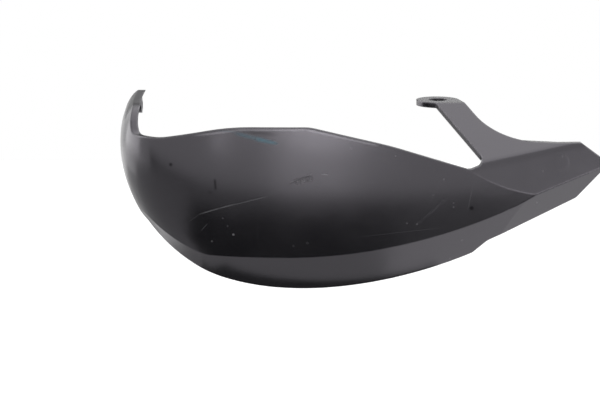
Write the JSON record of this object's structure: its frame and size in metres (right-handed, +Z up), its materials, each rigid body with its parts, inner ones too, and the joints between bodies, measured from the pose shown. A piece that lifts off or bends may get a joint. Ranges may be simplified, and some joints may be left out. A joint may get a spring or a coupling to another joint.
{
  "type": "motorcycle hand guard",
  "caption": "Curved satin black moulded hand guard with an end ear for the bar-end screw, a folded lower flange and a leaning strap with an eyelet.",
  "frame": {"origin": "on the axis of the bar-end screw hole, inside the ear wall", "axes": "+X inboard along the grip, +Y back towards the rider, +Z up"},
  "size_m": [0.3257, 0.1109, 0.1201],
  "materials": {
    "shell": "satin, fine moulded grain, light scratches"
  },
  "bodies": {
    "root": {"guard_shell": "shell"}
  },
  "joints": []
}
